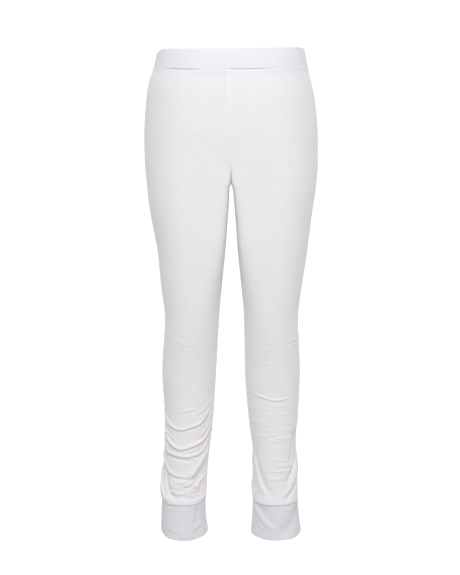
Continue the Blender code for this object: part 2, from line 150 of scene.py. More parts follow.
# A crease runs through its points, (turn, millimetres below the origin), and may start or end past a seam,
# where turn leaves 0 to 1. Its width and rise, in millimetres, follow, and its drop: the ridge drops
# sharply on one side. Drop 1 is the lower side, -1 the upper one, 0 makes both alike. A negative rise is
# a trough.
Crease = namedtuple("Crease", "path width rise drop")
legCreases = {"right": [
    # above the bunching
    ([(0.3, 703.5), (0.271, 702), (0.248, 700), (0.2, 695.5)], 2.6, 1.4, 1),
    ([(0.23, 712), (0.209, 710.5), (0.161, 702.5), (0.113, 691.5), (0.07, 682)], 3.6, 1.1, 1),
    ([(0.2, 719), (0.15, 712.5), (0.1, 699), (0.06, 691)], 3.4, 0.8, 1),
    # the long sharp folds across the front
    ([(0.54, 700), (0.445, 715), (0.411, 725), (0.366, 733), (0.316, 738), (0.275, 737.8), (0.233, 733),
      (0.178, 727.5), (0.143, 717.5), (0.099, 704.5), (0.02, 690)], 3.1, 3.1, 1),
    ([(0.19, 758), (0.155, 752.5), (0.126, 742.5), (0.1, 731), (0.076, 716), (0.03, 697)], 3.4, 2.2, 1),
    ([(0.54, 736), (0.445, 745.5), (0.408, 759.5), (0.361, 769.5), (0.309, 777), (0.274, 777.5),
      (0.229, 773), (0.18, 768), (0.135, 760.5), (0.102, 749), (0.06, 728), (-0.03, 712)], 4, 4, 1),
    ([(0.47, 738), (0.43, 746), (0.384, 753), (0.336, 761), (0.3, 769.5)], 2.2, 1.2, 1),
    ([(0.31, 788.5), (0.285, 787.5), (0.227, 783), (0.177, 778), (0.15, 772)], 2.2, 1.4, 1),
    ([(0.54, 762), (0.44, 772), (0.403, 784), (0.356, 789.5), (0.306, 791.5), (0.252, 793), (0.195, 791),
      (0.141, 785.5), (0.107, 775), (0.074, 759), (0, 745)], 3.7, 3.3, 1),
    ([(0.47, 780), (0.402, 789.5), (0.347, 795.5), (0.29, 798.5), (0.236, 801), (0.17, 804.5)], 2, -2.4, 0),
    ([(0.24, 795.5), (0.224, 793.5), (0.174, 788), (0.12, 781)], 1.6, -1.2, 0),
    # the fold that sweeps up to the inner side, and the hollow under it
    ([(0.56, 792), (0.47, 798), (0.419, 813.5), (0.373, 824), (0.324, 831.5), (0.279, 834),
      (0.22, 837)], 3.6, 2.8, 1),
    ([(0.04, 770), (0.07, 780), (0.107, 796), (0.14, 810), (0.17, 821.5), (0.2, 831.5),
      (0.255, 837.5)], 7.2, 4.2, 1),
    ([(0.42, 825), (0.359, 832.2), (0.307, 836.2), (0.258, 838.8), (0.2, 841.5)], 1.9, -1.6, 0),
    ([(0.03, 798), (0.085, 813.5), (0.132, 830), (0.163, 843), (0.205, 854)], 8.5, -3.4, 0),
    # short folds above the cuff
    ([(0.26, 854.5), (0.233, 852.5), (0.206, 850), (0.165, 844)], 3, 2.1, 1),
    ([(0.27, 861), (0.251, 859.8), (0.222, 857), (0.175, 855)], 1.8, -1.6, 0),
    ([(0.2, 859), (0.15, 854.5), (0.105, 842), (0.06, 835)], 3.4, 1.8, 1),
    ([(0.21, 871.5), (0.179, 870), (0.131, 866), (0.092, 854), (0.06, 846)], 2.2, -1.8, 0),
    ([(0.36, 861), (0.32, 860.5), (0.29, 861.5), (0.25, 865)], 2.2, -1.2, 0),
    ([(0.36, 866.5), (0.315, 868), (0.274, 870), (0.21, 866.5)], 2.6, 1.4, 1),
    ([(0.33, 845), (0.28, 847), (0.22, 846)], 4, 1, 1),
    # the last fold, hanging round the cuff's seam, with a hollow inside its curve
    ([(0.42, 822), (0.395, 837), (0.37, 856), (0.337, 873.5), (0.295, 878.5), (0.255, 876), (0.201, 879),
      (0.145, 877.5), (0.105, 866)], 3.4, -2.4, 0),
    ([(0.5, 812), (0.467, 831.5), (0.451, 848.5), (0.417, 864.5), (0.383, 878), (0.33, 885)], 5, 3.8, -1),
    ([(0.43, 812), (0.398, 829), (0.388, 846.5), (0.36, 861), (0.331, 871), (0.27, 877)], 5.6, -3.8, 0),
    ([(0.05, 828), (0.049, 843), (0.043, 858), (0.052, 872), (0.088, 881), (0.137, 885)], 4.6, 3, 1),
    ([(0.15, 826), (0.132, 840), (0.112, 854), (0.116, 866.5), (0.15, 874.5)], 5, -2.2, 0),
    # similar folds on the sides and back
    ([(0.47, 716), (0.55, 735), (0.66, 744), (0.8, 739), (0.92, 722), (1.04, 705)], 3.6, 3, 1),
    ([(0.46, 748), (0.56, 765), (0.7, 777), (0.83, 772), (0.94, 757), (1.06, 742)], 4, 3.6, 1),
    ([(0.55, 786), (0.64, 794), (0.75, 796), (0.85, 791)], 3.4, 3, 1),
    ([(0.6, 801), (0.69, 808), (0.8, 806), (0.9, 796)], 2.4, 1.6, 1),
    ([(0.47, 797), (0.57, 814), (0.68, 822), (0.8, 819), (0.9, 807), (0.975, 796)], 4.4, 3.6, 1),
    ([(0.72, 842), (0.8, 832), (0.88, 815), (0.94, 802), (0.975, 796)], 7, 3.8, 1),
    ([(0.56, 836), (0.64, 845), (0.74, 846), (0.84, 841)], 3.4, 2.4, 1),
    ([(0.66, 861), (0.76, 862), (0.88, 851), (1.03, 836)], 4, 2.6, 1),
    ([(0.49, 824), (0.53, 847), (0.58, 864), (0.66, 876)], 5.6, -2.6, 0),
    # the knee
    ([(0.39, 557), (0.345, 559), (0.292, 564), (0.244, 577)], 3.6, 0.6, 1),
    ([(0.31, 574), (0.29, 575.5), (0.243, 578.8)], 2, 0.5, 1),
    ([(0.25, 597), (0.223, 595), (0.188, 589.5), (0.16, 585.5)], 2.6, 0.6, 1),
    ([(0.16, 584.5), (0.127, 582), (0.08, 580), (-0.04, 577)], 3, 0.7, 1),
    ([(0.62, 521), (0.72, 532), (0.84, 527), (0.95, 517)], 6, 2, 1),
    ([(0.64, 547), (0.76, 556), (0.88, 548), (1.02, 537)], 5.5, 2.2, 1),
    ([(0.6, 571), (0.7, 579), (0.82, 577)], 5.5, 1.7, 1),
    # under the seat, and the soft pull from the fork
    ([(0.6, 300), (0.7, 292), (0.82, 279), (0.92, 270)], 11, 2.2, 1),
    ([(0.66, 334), (0.76, 326), (0.86, 309)], 11, 1.6, 1),
    ([(-0.06, 218), (0.06, 200), (0.16, 176), (0.28, 140)], 30, -1.4, 0),
], "left": [
    ([(0.11, 667), (0.133, 669), (0.175, 672), (0.207, 675), (0.237, 678), (0.276, 679), (0.312, 677.5),
      (0.37, 674)], 2.6, 2.1, 1),
    ([(0.25, 756.5), (0.3, 756), (0.34, 756.2), (0.375, 757)], 2, 1, 1),
    ([(0.03, 742), (0.087, 752), (0.115, 765), (0.16, 777)], 6, 0.6, 1),
    ([(0.1, 749), (0.135, 752), (0.171, 753), (0.215, 751)], 2.6, 0.5, 1),
    # level folds before the deep ones
    ([(0.18, 759), (0.235, 760.5), (0.29, 760), (0.33, 759)], 2, 0.5, 1),
    ([(0.25, 802.5), (0.285, 803), (0.33, 803.3), (0.365, 801)], 2, 0.7, 1),
    ([(0.25, 812.5), (0.295, 813.5), (0.345, 813.5), (0.38, 811)], 2.2, 1.5, 1),
    ([(0.21, 824), (0.254, 823.5), (0.3, 823), (0.343, 823.5), (0.37, 824)], 2.4, 1.3, 1),
    ([(0.17, 839), (0.24, 841), (0.31, 838)], 3.4, 0.8, 1),
    # down from the inner side towards the front
    ([(0.04, 772), (0.056, 790), (0.068, 801), (0.081, 811.5), (0.098, 826), (0.12, 843), (0.151, 860.5),
      (0.195, 876), (0.24, 884.5)], 6, 1, -1),
    ([(0.068, 780), (0.088, 801), (0.103, 812.5), (0.12, 823.5), (0.14, 835), (0.166, 851), (0.195, 863.5),
      (0.235, 873.5)], 5.4, -3, 0),
    ([(-0.06, 850), (0, 862), (0.05, 872), (0.1, 881)], 9, 3, 0),
    # down from the outer side towards the front
    ([(0.48, 730), (0.478, 752), (0.474, 770), (0.466, 786), (0.454, 800), (0.43, 814)], 12, -3.4, 0),
    ([(0.418, 738), (0.418, 760), (0.413, 778), (0.404, 793), (0.391, 806), (0.372, 816)], 8.4, -5.8, 0),
    ([(0.455, 800), (0.435, 810), (0.416, 817), (0.393, 824), (0.372, 831), (0.352, 839),
      (0.325, 851.5)], 4.4, -5.6, 0),
    ([(0.492, 784), (0.5, 796), (0.5, 811), (0.496, 826), (0.48, 840)], 5.2, 2.4, 0),
    ([(0.5, 808), (0.47, 818), (0.44, 830), (0.412, 841), (0.383, 851), (0.35, 862), (0.309, 872),
      (0.263, 880)], 6, 2.5, 1),
    ([(0.49, 834), (0.455, 846), (0.424, 856.5), (0.379, 869), (0.336, 879.5), (0.3, 883.5)], 3.4, -4.2, 0),
    # the sides and back
    ([(0.53, 736), (0.6, 742), (0.7, 739), (0.84, 748), (0.96, 744)], 3.6, 2.2, 1),
    ([(0.51, 758), (0.58, 765), (0.66, 769), (0.76, 766), (0.88, 776), (1.04, 766)], 3.8, 3.3, 1),
    ([(0.56, 790), (0.68, 800), (0.8, 803), (0.92, 796)], 3.8, 3.4, 1),
    ([(0.49, 793), (0.57, 812), (0.68, 827), (0.8, 829), (0.92, 816), (1.03, 800)], 5, 3.8, 1),
    ([(0.7, 846), (0.8, 842), (0.9, 828), (1.02, 810)], 4.6, 3.4, 1),
    ([(0.56, 852), (0.66, 860), (0.78, 865), (0.9, 857), (1.04, 842)], 4.4, 2.8, 1),
    ([(0.62, 752), (0.7, 755), (0.8, 759)], 2.2, 1.2, 1),
    # knee, seat and fork
    ([(0.31, 564), (0.345, 562.5), (0.395, 559.5), (0.46, 555.5), (0.56, 553)], 3.2, 1.2, 1),
    ([(0.33, 573), (0.37, 571.5), (0.42, 568), (0.5, 564)], 2.6, 0.7, 1),
    ([(0.18, 576), (0.208, 577), (0.253, 577.8), (0.32, 576.5)], 1.8, 0.6, 1),
    ([(0.2, 590), (0.26, 591), (0.32, 588.5)], 2, 0.5, 1),
    ([(0.18, 605), (0.22, 606.5), (0.256, 607), (0.31, 605)], 1.8, 0.5, 1),
    ([(0.64, 517), (0.74, 528), (0.86, 521), (0.97, 512)], 6, 1.8, 1),
    ([(0.52, 550), (0.6, 552), (0.72, 556), (0.84, 552), (1.02, 541)], 5.5, 2.2, 1),
    ([(0.66, 573), (0.76, 580), (0.86, 572)], 5.5, 1.6, 1),
    ([(0.62, 304), (0.72, 295), (0.83, 281), (0.93, 272)], 11, 2.2, 1),
    ([(0.68, 340), (0.78, 330), (0.88, 316)], 11, 1.5, 1),
    ([(-0.06, 214), (0.05, 192), (0.14, 166), (0.26, 132)], 28, -1.6, 0),
]}
cuffCreases = {"right": [
    ([(0.16, 895), (0.15, 901), (0.14, 909), (0.142, 920), (0.155, 932)], 5.6, -2.2, 0),
    ([(0.43, 895), (0.425, 910), (0.41, 925), (0.39, 940)], 6, -1.4, 0),
    ([(0.42, 900), (0.34, 902), (0.26, 903), (0.18, 901)], 2.2, 0.5, 1),
    ([(0.36, 908), (0.28, 910), (0.21, 909)], 2, 0.4, 1),
    ([(0.46, 924), (0.4, 933), (0.31, 938.5), (0.24, 940)], 5, 0.9, 1),
    ([(0.19, 939), (0.13, 932), (0.08, 926)], 5, 1.2, 1),
    ([(0.54, 902), (0.66, 911), (0.78, 909)], 5, 1.6, 1),
    ([(0.82, 902), (0.9, 912), (0.98, 924)], 5.5, 1.4, 1),
], "left": [
    ([(0.05, 891), (0.098, 896), (0.148, 901.5), (0.188, 910), (0.222, 919), (0.27, 922)], 5.8, -1.6, 0),
    ([(0.05, 892), (0.087, 901), (0.121, 910), (0.149, 917.5), (0.18, 925), (0.216, 930.5), (0.25, 933),
      (0.28, 933)], 6.2, 2.2, -1),
    ([(0.24, 944), (0.3, 939), (0.344, 931), (0.4, 918), (0.47, 902)], 10.5, -3.6, 0),
    ([(0.452, 893), (0.46, 908), (0.464, 925), (0.45, 942)], 12, -3, 0),
    ([(0.1, 927), (0.15, 936), (0.2, 942)], 4, 0.9, 1),
    ([(0.28, 902), (0.34, 903), (0.4, 901)], 3, 0.6, 1),
    ([(0.56, 906), (0.67, 910), (0.8, 904)], 5, 1.5, 1),
    ([(0.7, 924), (0.82, 928), (0.94, 920)], 6, 1.3, 1),
]}


def inMetres(rows):
    # the creases of a table
    return [Crease([(turn, -down / 1000) for turn, down in path], width / 1000, rise / 1000, drop)
            for path, width, rise, drop in rows]


def readColumn(rows, column, z):
    # smooth curve through a table's column that stays within its rows
    zs = np.array([row.z for row in rows])[::-1]
    values = np.array([getattr(row, column) for row in rows])[::-1]
    rates = np.diff(values) / np.diff(zs)
    same = rates[:-1] * rates[1:] > 0
    between = np.where(same, 2 * rates[:-1] * rates[1:] / np.where(same, rates[:-1] + rates[1:], 1.0), 0.0)
    slopes = np.concatenate([rates[:1], between, rates[-1:]])
    i = np.clip(np.searchsorted(zs, z) - 1, 0, len(zs) - 2)
    span = zs[i + 1] - zs[i]
    t = np.clip((z - zs[i]) / span, 0.0, 1.0)
    return (values[i] * (1 + 2 * t) * (1 - t) ** 2 + slopes[i] * span * t * (1 - t) ** 2
            + values[i + 1] * t * t * (3 - 2 * t) + slopes[i + 1] * span * t * t * (t - 1))


def fade(value, start, end):
    t = np.clip((value - start) / (end - start), 0.0, 1.0)
    return t * t * (3 - 2 * t)


def section(leg, turn, z):
    # outer face of a leg at a height, x from the centre plane; above the crotch it is half of the body
    g = garment
    inner = readColumn(widths[leg], "inner", z)
    outer = readColumn(widths[leg], "outer", z)
    front = readColumn(levels, "front", z)
    back = readColumn(levels, "back", z)
    middle = (front + back) / 2
    atFront = turn <= 0.5
    reach = np.where(atFront, front, back)
    share = np.where(atFront, readColumn(levels, "frontCrest", z), readColumn(levels, "backCrest", z))
    crest = inner + (outer - inner) / 2 * share
    fromSeam = np.where(atFront, turn, 1 - turn)
    # from the crest round the outer side
    angle = np.clip((fromSeam - 0.25) * 2 * np.pi, 0.0, np.pi / 2)
    outerX = crest + (outer - crest) * np.sin(angle) ** (2 / g["squareness"])
    outerY = middle + (reach - middle) * np.clip(np.cos(angle), 0.0, 1.0) ** (2 / g["squareness"])
    # from the seam to the crest, drawing in through the fork
    fork = np.where(atFront, g["frontFork"], g["backFork"])
    down = np.maximum((g["crotch"] + fork - z) / fork, 0.0)
    closed = fade(down, 0.0, 1.0)
    full = np.where(atFront, g["thighFullness"]["front"], g["thighFullness"]["back"])
    power = (1 - full * fade(z, *g["thighStart"]) * fade(z, *g["thighEnd"])
             - g["forkFullness"] * fade(z, *g["forkStart"]) * fade(z, *g["forkEnd"]))
    angle = np.clip(fromSeam, 0.0, 0.25) * 2 * np.pi
    parted = 1 - down ** g["forkDepth"]
    softness = g["forkSoftness"] * closed * np.sin(angle) ** 2
    seamY = middle + (reach - middle) * np.sqrt((parted + np.hypot(parted, softness)) / 2)
    level = np.clip(fromSeam, 0.0, 0.25) / 0.25
    out = (1 - closed) * level + closed * (1 - np.clip(np.cos(angle), 0.0, 1.0) ** power)
    innerX = inner + (crest - inner) * out
    innerY = seamY + (reach - seamY) * np.sin(angle) ** ((2 - closed) * power)
    beyond = fromSeam > 0.25
    return np.where(beyond, outerX, innerX), np.where(beyond, outerY, innerY)


def outward(leg, before, after, z):
    # level outward normals of a section, from the points before and after on it
    x0, y0 = section(leg, before, z)
    x1, y1 = section(leg, after, z)
    length = np.hypot(x1 - x0, y1 - y0)
    return (y1 - y0) / length, (x0 - x1) / length


def leanRows(y, z):
    # the rows lean up towards the back, most at the hem
    middle = (readColumn(levels, "front", z) + readColumn(levels, "back", z)) / 2
    return z + readColumn(levels, "lean", z) * (y - middle)


def hangWaist(x, y, z):
    # the waistband and the cloth under it sit a little aslant, sag at the front and dip at the sides
    g = garment
    near = fade(z, g["bandFoot"] - g["waistReach"], g["bandFoot"])
    lower = 1 - fade(z, g["bandFoot"], g["bandTop"])
    forward = np.maximum(-y / 0.1, 0.0) ** 2
    dip = np.where(x < 0, g["sideDip"]["right"], g["sideDip"]["left"]) * fade(np.abs(x), *g["dipPlace"])
    return z + near * (g["waistTilt"] * x - g["waistSag"] * forward * lower) - dip * (1 - lower)


def normalsOf(points):
    # outward normals of a grid whose columns go by turn and rows go down, at positive x
    acrossRow = np.gradient(points, axis=1)
    downColumn = np.gradient(points, axis=0)
    normal = np.cross(downColumn, acrossRow)
    return normal / np.maximum(np.linalg.norm(normal, axis=2, keepdims=True), 1e-12)


def smoothPath(points, steps=6):
    # Catmull-Rom curve through a crease's points
    p = np.array([points[0], *points, points[-1]], float)
    out = []
    for i in range(1, len(p) - 2):
        for k in range(steps):
            t = k / steps
            out.append(0.5 * (2 * p[i] + (p[i + 1] - p[i - 1]) * t
                              + (2 * p[i - 1] - 5 * p[i] + 4 * p[i + 1] - p[i + 2]) * t * t
                              + (3 * p[i] - p[i - 1] - 3 * p[i + 1] + p[i + 2]) * t ** 3))
    out.append(p[-2])
    return np.array(out)


creaseShape = {
    "sharpness": 0.6,        # width of the side that drops, when the other is 1
    "trough": 0.32,          # depth of the hollow beyond that side
    "troughPlace": 1.15,
    "troughWidth": 0.55,
    "ends": 0.24,            # share of its length over which each end fades
}


def nearestOn(line, px, pz):
    # distance of points from a line, the side of it that they lie on, and how far along it
    best = np.full(px.shape, 1e9)
    side = np.zeros(px.shape)
    along = np.zeros(px.shape)
    lengths = np.linalg.norm(np.diff(line, axis=0), axis=1)
    passed = 0.0
    for a, b, length in zip(line, line[1:], lengths):
        d = (b - a) / max(length, 1e-9)
        t = np.clip((px - a[0]) * d[0] + (pz - a[1]) * d[1], 0.0, length)
        dx, dz = px - a[0] - t * d[0], pz - a[1] - t * d[1]
        distance = np.hypot(dx, dz)
        closer = distance < best
        best = np.where(closer, distance, best)
        side = np.where(closer, np.sign(d[0] * dz - d[1] * dx), side)
        along = np.where(closer, (passed + t) / lengths.sum(), along)
        passed += length
    return best, side, along


def creaseField(creases, turn, z, girth):
    # height of all creases over the cloth, for grids of turns and heights
    c = creaseShape
    field = np.zeros_like(z)
    across = turn * girth
    for crease in creases:
        line = smoothPath(crease.path)
        line[:, 0] *= girth
        if line[-1, 0] < line[0, 0]:
            line = line[::-1]
        margin = 4 * crease.width
        near = ((across > line[:, 0].min() - margin) & (across < line[:, 0].max() + margin)
                & (z > line[:, 1].min() - margin) & (z < line[:, 1].max() + margin))
        distance, side, along = nearestOn(line, across[near], z[near])
        signed = distance * side / crease.width
        if crease.drop == 0:
            shape = np.exp(-signed ** 2)
        else:
            signed = signed * crease.drop
            ridge = np.exp(-np.where(signed > 0, signed, signed / c["sharpness"]) ** 2)
            shape = ridge - c["trough"] * np.exp(-((signed + c["troughPlace"]) / c["troughWidth"]) ** 2)
        ends = fade(along, 0.0, c["ends"]) * fade(1 - along, 0.0, c["ends"])
        field[near] += crease.rise * shape * ends
    return field


fineLines = {
    "right": {"seed": 3, "count": 70, "lowest": -0.884, "highest": -0.680, "most": -0.800, "tilt": 0.004,
              "rise": 0.00045, "longest": 0.07, "clearBelow": -0.900},
    "left": {"seed": 8, "count": 170, "lowest": -0.850, "highest": -0.672, "most": -0.765, "tilt": 0.0010,
             "rise": 0.00062, "longest": 0.11, "clearBelow": -0.775},
    "shortest": 0.03,
    "bend": (-0.0025, 0.0005),
    "width": (0.0015, 0.0026),
    "strength": (0.35, 1.0),
    "front": (0.13, 0.41),   # turns of the ankle's front, between the deep folds beside it
    "back": 0.54,
}


def fineCreases(leg):
    # the many small level lines that the bunching presses into the cloth
    every, c = fineLines, fineLines[leg]
    dice = random.Random(c["seed"])
    frontStart, frontEnd = every["front"]
    creases = []
    for _ in range(c["count"]):
        turn = dice.uniform(-0.02, 1.02)
        z = dice.triangular(c["lowest"], c["highest"], c["most"])
        half = dice.uniform(every["shortest"], c["longest"])
        bend = dice.uniform(*every["bend"])
        tilt = dice.uniform(-c["tilt"], c["tilt"])
        path = [(turn - half, z - tilt), (turn, z + bend), (turn + half, z + tilt)]
        crease = Crease(path, dice.uniform(*every["width"]), dice.uniform(*every["strength"]) * c["rise"], 1)
        # none runs over the deep folds beside the ankle's front
        atFront = turn - half > frontStart and turn + half < frontEnd
        if z > c["clearBelow"] or turn > every["back"] or atFront:
            creases.append(crease)
    return creases


def addObject(name, data):
    added = bpy.data.objects.new(name, data)
    bpy.context.scene.collection.objects.link(added)
    return added


def sheetObject(name, points, uv, side, closed=False):
    # a grid of points as one mesh, with its cloth coordinates in metres
    rows, columns = points.shape[:2]
    placed = points.copy()
    placed[..., 0] *= side
    faces, corners = [], []
    for i in range(rows - 1):
        for j in range(columns if closed else columns - 1):
            k = (j + 1) % columns
            quad = [(i, j), (i + 1, j), (i + 1, k), (i, k)]
            uvs = [uv[i, j], uv[i + 1, j], uv[i + 1, j + 1 if closed else k], uv[i, j + 1 if closed else k]]
            if side < 0:
                quad, uvs = quad[::-1], uvs[::-1]
            faces.append([r * columns + c for r, c in quad])
            corners.extend(uvs)
    mesh = bpy.data.meshes.new(name)
    mesh.from_pydata(placed.reshape(-1, 3).tolist(), [], faces)
    layer = mesh.uv_layers.new(name="cloth")
    layer.data.foreach_set("uv", np.array(corners, np.float32).ravel())
    mesh.shade_smooth()
    mesh.validate()
    return addObject(name, mesh)


def clothCoordinates(points):
    # distance along each row from the front line, and down the front line
    rows, columns = points.shape[:2]
    steps = np.linalg.norm(np.diff(points, axis=1), axis=2)
    along = np.concatenate([np.zeros((rows, 1)), np.cumsum(steps, axis=1)], axis=1)
    middle = columns // 4
    along -= along[:, middle:middle + 1]
    down = np.linalg.norm(np.diff(points[:, middle], axis=0), axis=1)
    down = np.concatenate([[0.0], np.cumsum(down)])
    return np.stack([along, np.repeat(-down[:, None], columns, axis=1)], axis=2)


def addWall(piece, thickness):
    wall = piece.modifiers.new("wall", "SOLIDIFY")
    wall.thickness = thickness
    wall.offset = -1


def ringObject(name, points, side):
    # a ring of doubled cloth from a grid whose last row joins its first
    points = np.concatenate([points, points[:1]])
    around = np.concatenate([points, points[:, :1]], axis=1)
    piece = sheetObject(name, points, clothCoordinates(around), side, closed=True)
    mesh = bmesh.new()
    mesh.from_mesh(piece.data)
    bmesh.ops.remove_doubles(mesh, verts=mesh.verts, dist=0.00001)
    bmesh.ops.recalc_face_normals(mesh, faces=mesh.faces)
    mesh.to_mesh(piece.data)
    mesh.free()
    return piece


legCloth = {
    "thickness": 0.0012,
    "columns": 128,
    "seamColumns": [0.0002, 0.0035, 0.9965, 0.9998],
    "hipRow": 0.0075,
    "kneeRow": 0.0016,
    "foldRow": 0.0013,
    "hipsTop": -0.045,
    "kneeTop": -0.545,
    "kneeFoot": -0.612,
    "foldsTop": -0.640,
    "foldsFoot": -0.878,
    "foldsEnd": (0.002, 0.012),    # above the cuff's seam
    "rowGap": 0.002,
    "edgeTurn": 0.002,
    "forkRows": (0.62, 1.0, 14),
    # rows under the waistband and above the cuff's seam, millimetres from them
    "bandRows": [0.7, 1.5, 2.6, 4.0, 5.6, 7.4, 9.6, 12.4, 16.0, 20.0],
    "seamRows": [12.5, 11.3, 10.2, 9.2, 8.2, 7.2, 6.3, 5.5, 4.7, 4.0, 3.3, 2.7, 2.1, 1.5, 1.0, 0.5, 0.0],
}
turnedCloth = {
    "inwards": (0.0055, 0.0033, 0.0016, 0.0005),   # cloth turned in along the seams
    "ridge": 0.0003,         # it lifts the panel beside its seam
    "flat": 0.0014,          # so far from the seam, and then slopes off
    "slope": 0.0018,
    "pressed": {"right": 1.0, "left": 0.10},   # which leg the front seam's turned cloth lies behind
    "frontWhite": (0.15, 0.60),                # how much it whitens the jersey, low and high on the front
    "frontPlace": (-0.125, -0.060),
    "backWhite": 0.25,
    # rows turned in behind the waistband and inside the cuff, (up, inset)
    "behindBand": [(0.0085, 0.0046), (0.0040, 0.0045), (0.0016, 0.0040), (0.0010, 0.0026), (0.0007, 0.0012),
                   (0.0003, 0.0003)],
    "insideCuff": [(-0.0002, 0.0009), (-0.0010, 0.0016), (-0.0030, 0.0018), (-0.0060, 0.0019)],
}
topLip = {
    "rise": 0.0017,          # the leg's top stands out under the waistband
    "waver": 0.12,
    "slope": (0.0020, 0.0125),
    "low": {"right": (0.295, 0.385), "left": (0.02, 0.30)},   # turns where it lies lower
    "lowEnds": (0.02, 0.03),
    "lowShare": 0.7,
    "groove": 0.0016,
    "grooveWidth": 0.0022,
}
lastFold = {
    "out": 0.0026,           # it hangs over the cuff's seam
    "outFrom": (0.0, 0.0032),
    "outTo": (0.0055, 0.0200),
    "drop": 0.0030,
    "dropFrom": (0.0, 0.0020),
    "dropTo": (0.0040, 0.0150),
    "least": 0.22,           # share of it at the inner and outer sides of the leg
    "waver": (0.16, 0.12),
    "seamInset": 0.0006,
    "insetTo": 0.0012,
}


def legHeights():
    # rows lie closest at the knee, where the cloth bunches, and beside the waistband and the cuff
    g, c = garment, legCloth
    underBand = g["bandFoot"] - np.array(c["bandRows"]) / 1000
    hips = np.arange(c["hipsTop"], c["kneeTop"], -c["hipRow"])
    fork = g["crotch"] + g["backFork"] * (1 - np.sin(np.linspace(*c["forkRows"]) * np.pi / 2))
    hips = np.concatenate([hips[(hips > fork[0] + c["rowGap"]) | (hips < fork[-1] - c["rowGap"])], fork])
    knee = np.arange(c["kneeTop"], c["kneeFoot"], -c["kneeRow"])
    shin = np.arange(c["kneeFoot"], c["foldsTop"], -c["hipRow"])
    folds = np.arange(c["foldsTop"], c["foldsFoot"], -c["foldRow"])
    aboveCuff = g["cuffSeam"] + np.array(c["seamRows"]) / 1000
    return np.sort(np.concatenate([underBand, hips, knee, shin, folds, aboveCuff]))[::-1]


def plainLeg(leg, turn, z):
    # the leg without its folds, and its outward normals
    g, edge = garment, legCloth["edgeTurn"]
    side = sides[leg]
    x, y = section(leg, turn, z)
    x = x + g["centreGap"] / 2
    closedRows = z <= g["crotch"]
    y = y + np.where(closedRows & (turn < edge), -g["seamGap"] / 2, 0.0)
    y = y + np.where(closedRows & (turn > 1 - edge), g["seamGap"] / 2, 0.0)
    drift = side * g["seamDrift"] * fade(z, *g["driftPlace"]) * np.exp(-(x / g["driftReach"]) ** 2) * (y < 0)
    points = np.stack([x + drift, y, hangWaist(x * side, y, leanRows(y, z))], axis=2)
    normals = normalsOf(points)
    # above the crotch the two legs make one surface, so the seam's normals stay in the centre plane
    above = z[:, 0] > g["crotch"] + 0.001
    for column in (0, -1):
        normals[above, column, 0] = 0.0
    return points, normals / np.maximum(np.linalg.norm(normals, axis=2, keepdims=True), 1e-12)


def liftUnderBand(leg, turn, z, seed):
    # how far the leg's top stands out, and the groove where it lies lower
    c = topLip
    below = garment["bandFoot"] - z
    waver = 1 + c["waver"] * (np.sin(2 * np.pi * (turn * 3 + 0.11 * seed)) - 1)
    start, end = c["low"][leg]
    before, after = c["lowEnds"]
    low = fade(turn, start - before, start + before) * fade(turn, end + after, end - after)
    lip = c["rise"] * waver * (1 - c["lowShare"] * low) * (1 - fade(below, *c["slope"]))
    return lip - c["groove"] * low * np.exp(-(below / c["grooveWidth"]) ** 2)


def hangLastFold(turn, z, seed):
    # how far the last fold stands out and hangs down
    c = lastFold
    above = z - garment["cuffSeam"]
    hang = 0.5 - 0.5 * np.cos(4 * np.pi * turn)
    slow, quick = c["waver"]
    wave = 1 + slow * np.sin(2 * np.pi * (turn * 2 + 0.13 * seed))
    wave = wave + quick * np.sin(2 * np.pi * (turn * 5 + 0.4))
    bulge = wave * (c["least"] + (1 - c["least"]) * hang)
    out = c["out"] * bulge * fade(above, *c["outFrom"]) * (1 - fade(above, *c["outTo"]))
    out = out - c["seamInset"] * (1 - fade(above, 0.0, c["insetTo"]))
    return out, c["drop"] * wave * hang * fade(above, *c["dropFrom"]) * (1 - fade(above, *c["dropTo"]))


def turnIn(edge, normal, rows):
    # rows of cloth turned in from an edge
    turned = []
    for up, inset in rows:
        row = edge - normal * inset
        row[:, 2] = edge[:, 2] + up
        turned.append(row)
    return np.array(turned)


